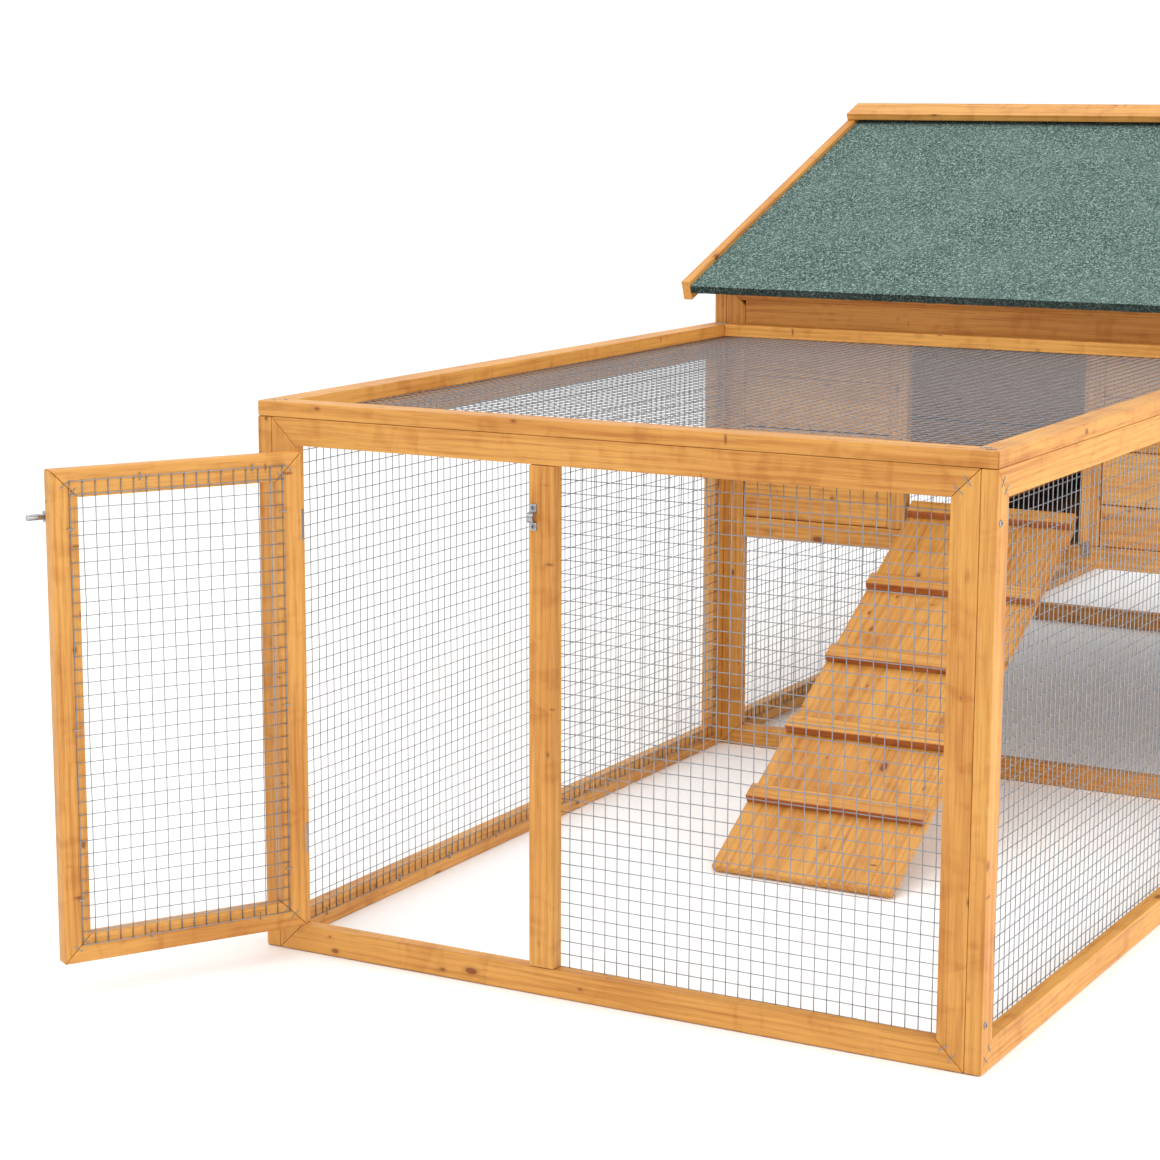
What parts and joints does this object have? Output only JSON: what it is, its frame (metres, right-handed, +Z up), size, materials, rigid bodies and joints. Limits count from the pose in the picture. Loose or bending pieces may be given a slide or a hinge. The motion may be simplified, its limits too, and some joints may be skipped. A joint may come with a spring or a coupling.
{
  "type": "chicken coop",
  "caption": "Low timber hen coop: a gabled, felt-roofed house between two wire runs, with a hinged run door, a ramp, house doors and slide-out trays.",
  "frame": {"origin": "middle of the underside of the ground rail of the house front wall, on the ground", "axes": "+X to the right when facing the front run, +Y from the front run to the rear run, +Z up"},
  "size_m": [1.2022, 3.2794, 0.8245],
  "materials": {
    "timber": "honey-stained softwood, satin",
    "roofing_felt": "mineral granules on bitumen felt",
    "wire_mesh": "galvanised welded wire",
    "zinc_hardware": "zinc plated",
    "tray_sheet": "galvanised sheet"
  },
  "bodies": {
    "coop": {"barge_boards": "timber", "bolt_keeper": "zinc_hardware", "corner_screws": "zinc_hardware", "fixed_hinge_leaves": "zinc_hardware", "front_panel_frame": "timber", "front_panel_mesh": "wire_mesh", "front_run_left_panel_frame": "timber", "front_run_left_panel_mesh": "wire_mesh", "front_run_lid_frame": "timber", "front_run_lid_mesh": "wire_mesh", "front_run_right_panel_frame": "timber", "front_run_right_panel_mesh": "wire_mesh", "hinge_pins": "zinc_hardware", "house_back_frame": "timber", "house_back_planks": "timber", "house_front_frame": "timber", "house_front_planks": "timber", "house_left_frame": "timber", "house_left_lower_mesh": "wire_mesh", "house_left_planks": "timber", "house_right_frame": "timber", "house_right_lower_mesh": "wire_mesh", "house_right_planks": "timber", "jamb_plate": "zinc_hardware", "partition_planks": "timber", "rear_end_panel_frame": "timber", "rear_end_panel_mesh": "wire_mesh", "rear_run_left_panel_frame": "timber", "rear_run_left_panel_mesh": "wire_mesh", "rear_run_lid_frame": "timber", "rear_run_lid_mesh": "wire_mesh", "rear_run_right_panel_frame": "timber", "rear_run_right_panel_mesh": "wire_mesh", "ridge_battens": "timber", "ridge_cappings": "timber", "roof_boards": "timber", "roof_felt": "roofing_felt", "tray_runners": "timber", "turn_button_screw": "zinc_hardware"},
    "door": {"door_frame": "timber", "door_mesh": "wire_mesh", "door_hinge_leaves": "zinc_hardware", "bolt_plate_and_loops": "zinc_hardware"},
    "bolt": {"bolt_rod": "zinc_hardware"},
    "ramp": {"ramp_board": "timber", "ramp_cleats": "timber", "ramp_hinge_leaves": "zinc_hardware"},
    "front_tray": {"front_tray_pan": "tray_sheet", "front_tray_face": "timber", "front_tray_knob": "timber"},
    "rear_tray": {"rear_tray_pan": "tray_sheet", "rear_tray_face": "timber", "rear_tray_knob": "timber"},
    "front_hatch": {"front_house_door": "timber", "front_house_door_leaves": "zinc_hardware"},
    "rear_hatch": {"rear_house_door": "timber", "rear_house_door_leaves": "zinc_hardware"},
    "button": {"turn_button": "timber"}
  },
  "joints": [
    {"name": "run_door", "type": "hinge", "parent": "coop", "child": "door", "pos_m": [-0.3367, -1.0172, 0.27], "axis": [0, 0, -1], "range_deg": [-120, 50]},
    {"name": "door_bolt", "type": "slide", "parent": "door", "child": "bolt", "axis": [-0.5, -0.866, 0], "range_m": [-0.01, 0]},
    {"name": "ramp_hinge", "type": "hinge", "parent": "coop", "child": "ramp", "pos_m": [0, -0.0112, 0.3128], "axis": [-1, 0, 0], "range_deg": [0, 45]},
    {"name": "front_tray_slide", "type": "slide", "parent": "coop", "child": "front_tray", "axis": [1, 0, 0], "range_m": [-0.325, 0.05]},
    {"name": "rear_tray_slide", "type": "slide", "parent": "coop", "child": "rear_tray", "axis": [1, 0, 0], "range_m": [0, 0.375]},
    {"name": "front_house_door", "type": "hinge", "parent": "coop", "child": "front_hatch", "pos_m": [0.3842, 0.0203, 0.446], "axis": [0, 0, -1], "range_deg": [0, 110]},
    {"name": "rear_house_door", "type": "hinge", "parent": "coop", "child": "rear_hatch", "pos_m": [0.3842, 0.9917, 0.446], "axis": [0, 0, 1], "range_deg": [0, 110]},
    {"name": "turn_button", "type": "hinge", "parent": "coop", "child": "button", "pos_m": [0.384, 0.506, 0.446], "axis": [1, 0, 0], "range_deg": [0, 90]}
  ]
}
